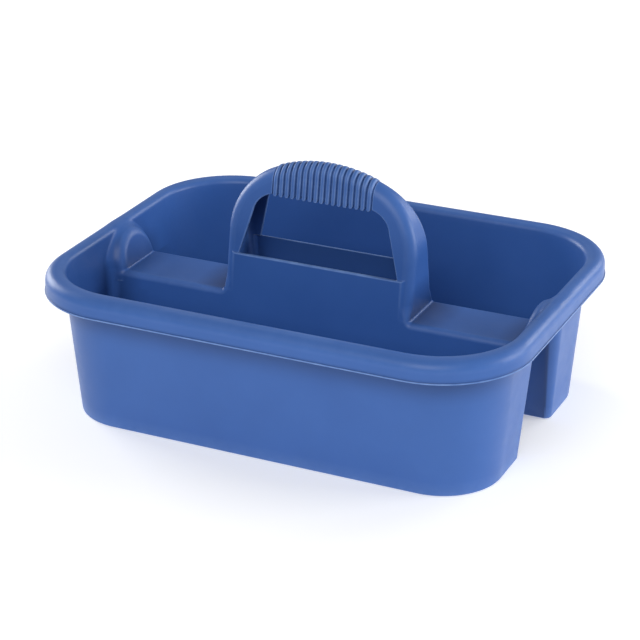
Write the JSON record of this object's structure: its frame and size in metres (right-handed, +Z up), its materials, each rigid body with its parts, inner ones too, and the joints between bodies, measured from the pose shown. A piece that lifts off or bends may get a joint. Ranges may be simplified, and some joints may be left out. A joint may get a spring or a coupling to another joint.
{
  "type": "cleaning caddy",
  "caption": "Moulded plastic carrying caddy with a front bin and a rear bin, a rolled rim, a hollow divider and an arched ribbed handle with a hand hole.",
  "frame": {"origin": "on the floor, under the middle of the caddy", "axes": "+X along the handle and the longer side, -Y to the front, +Z up"},
  "size_m": [0.4666, 0.3524, 0.234],
  "materials": {
    "blue_plastic": "satin moulded polypropylene, blue"
  },
  "bodies": {
    "root": {"front_bin_floor": "blue_plastic", "rear_bin_floor": "blue_plastic", "front_bin_walls": "blue_plastic", "rear_bin_walls": "blue_plastic", "front_upper_wall": "blue_plastic", "rear_upper_wall": "blue_plastic", "rim_roll": "blue_plastic", "rim_skirt": "blue_plastic", "rim_lip": "blue_plastic", "left_end_arch": "blue_plastic", "right_end_arch": "blue_plastic", "divider_left": "blue_plastic", "divider_right": "blue_plastic", "handle_front_panel": "blue_plastic", "handle_rear_panel": "blue_plastic", "handle_left_leg": "blue_plastic", "handle_right_leg": "blue_plastic", "handle_crown": "blue_plastic", "grip_ribs": "blue_plastic"}
  },
  "joints": []
}
